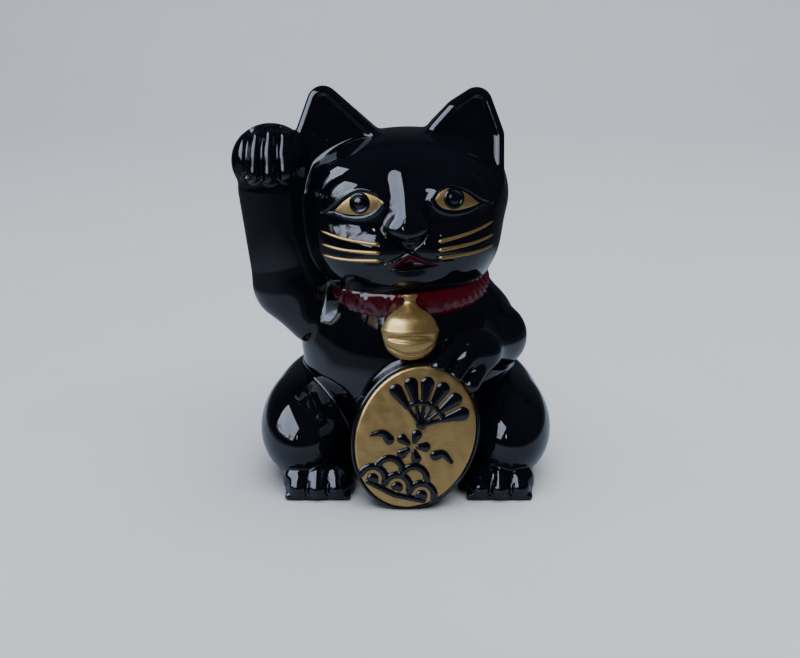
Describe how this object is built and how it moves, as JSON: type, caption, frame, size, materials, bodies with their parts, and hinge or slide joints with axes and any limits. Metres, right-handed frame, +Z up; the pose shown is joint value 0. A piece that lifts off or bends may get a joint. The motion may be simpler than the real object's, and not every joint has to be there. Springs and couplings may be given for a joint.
{
  "type": "beckoning cat figurine",
  "caption": "Seated black ceramic cat with one paw raised, red collar with a bell, and a gold oval plaque held against its belly.",
  "frame": {"origin": "on the table plane under the middle of the figure, on the flat unglazed base", "axes": "the cat faces -Y, +Z is up, +X is the cat's left"},
  "size_m": [0.1331, 0.1092, 0.1614],
  "materials": {
    "black_glaze": "mirror-gloss black glaze over slip-cast clay",
    "gilt": "satin gold paint over glaze, brushed on by hand",
    "red_enamel": "glossy dark red enamel",
    "grey_rubber": "soft matt rubber"
  },
  "bodies": {
    "figurine": {"body_casting": "black_glaze", "head_casting": "black_glaze", "raised_arm": "black_glaze", "lowered_arm": "black_glaze", "left_hind_paw": "black_glaze", "right_hind_paw": "black_glaze", "tail": "black_glaze", "left_iris": "black_glaze", "right_iris": "black_glaze", "koban_relief_fan": "black_glaze", "koban_relief_blossom": "black_glaze", "koban_relief_waves": "black_glaze", "koban_coin": "gilt", "bell": "gilt", "left_eye": "gilt", "right_eye": "gilt", "left_whisker_1": "gilt", "left_whisker_2": "gilt", "left_whisker_3": "gilt", "right_whisker_1": "gilt", "right_whisker_2": "gilt", "right_whisker_3": "gilt", "collar": "red_enamel", "mouth": "red_enamel"},
    "stopper": {"base_stopper": "grey_rubber"}
  },
  "joints": [
    {"name": "stopper_pull", "type": "slide", "parent": "figurine", "child": "stopper", "axis": [0, 0, -1], "range_m": [0, 0.03]}
  ]
}
